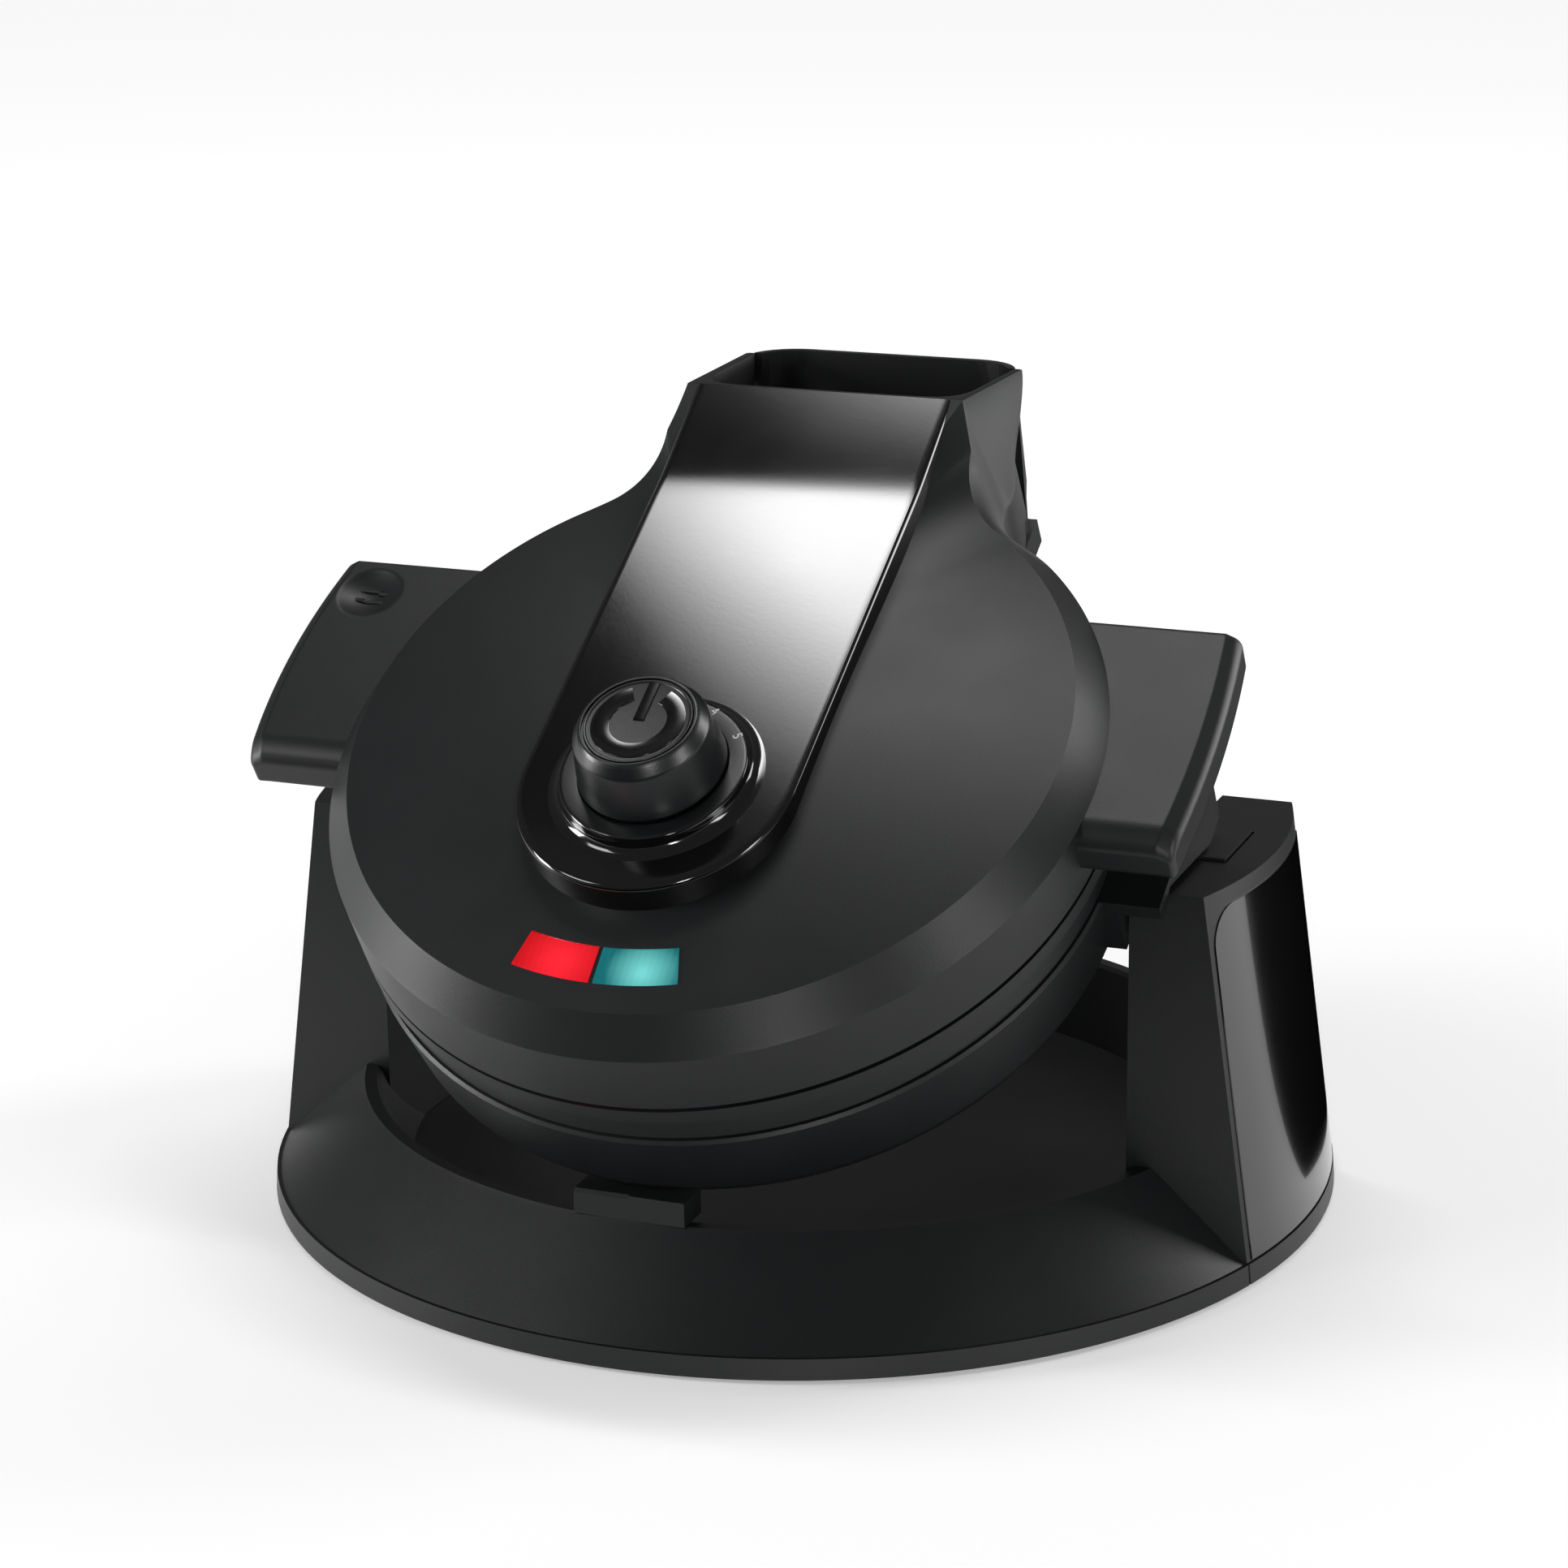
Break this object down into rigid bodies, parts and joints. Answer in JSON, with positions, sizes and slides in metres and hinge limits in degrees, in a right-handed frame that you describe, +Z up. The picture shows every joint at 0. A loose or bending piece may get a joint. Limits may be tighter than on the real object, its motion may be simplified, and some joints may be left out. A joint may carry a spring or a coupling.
{
  "type": "donut_maker",
  "caption": "Tilting electric mini doughnut maker: round black clamshell with batter spout, dial and two side handles, hung between pillars on a dished base",
  "frame": {"origin": "middle of the base at table height, under the feet", "axes": "+X to the right seen from the dial side, -Y is the front with the dial, +Z up; the tilt axis runs along X"},
  "size_m": [0.282, 0.2832, 0.2061],
  "materials": {
    "satin_black": "satin moulded plastic with a fine grain",
    "gloss_black": "polished black plastic",
    "foot_rubber": "soft black rubber",
    "steel": "plain drawn steel",
    "cast_plate": "cast aluminium with a dark non-stick coat",
    "thermostat_white": "cream heat-proof plastic",
    "red_lamp": "clear red lens, lit",
    "green_lamp": "clear blue-green lens, lit"
  },
  "bodies": {
    "stand": {"base_shell": "satin_black", "base_bottom_plate": "satin_black", "rubber_feet": "foot_rubber", "base_screws": "steel", "tilt_rest": "satin_black", "left_pillar": "satin_black", "right_pillar": "satin_black", "left_pillar_panel": "gloss_black", "right_pillar_panel": "gloss_black", "left_pillar_cap": "satin_black", "right_pillar_cap": "satin_black", "left_bearing_block": "satin_black", "right_bearing_block": "satin_black", "cord_gland": "foot_rubber"},
    "lower_body": {"left_pivot_pin": "steel", "right_pivot_pin": "steel", "lower_shell": "satin_black", "lower_plate": "cast_plate", "lower_heating_element": "steel", "lower_heat_shield": "steel", "lower_plate_screws": "steel", "hinge_pin": "steel"},
    "lid": {"lid_shell": "satin_black", "spout_back": "satin_black", "seam_band": "satin_black", "control_strip": "gloss_black", "left_handle": "satin_black", "right_handle": "satin_black", "handle_screws": "steel", "upper_plate": "cast_plate", "upper_heating_element": "steel", "upper_heat_shield": "steel", "upper_plate_screws": "steel", "thermostat": "thermostat_white", "thermostat_bracket": "steel", "spout_funnel": "gloss_black", "dial_collar": "gloss_black", "red_lens": "red_lamp", "green_lens": "green_lamp", "lamp_holder": "thermostat_white"},
    "knob": {"knob": "satin_black", "knob_cap": "gloss_black", "knob_clip": "steel"}
  },
  "joints": [
    {"name": "tilt", "type": "hinge", "parent": "stand", "child": "lower_body", "pos_m": [0, 0, 0.097], "axis": [1, 0, 0], "range_deg": [-31.4, 0]},
    {"name": "lid_hinge", "type": "hinge", "parent": "lower_body", "child": "lid", "pos_m": [0, 0.07828, 0.17278], "axis": [-1, 0, 0], "range_deg": [0, 100]},
    {"name": "knob_turn", "type": "hinge", "parent": "lid", "child": "knob", "pos_m": [0, -0.09423, 0.13391], "axis": [0, -0.521, 0.8536], "range_deg": [-240, 0]}
  ]
}
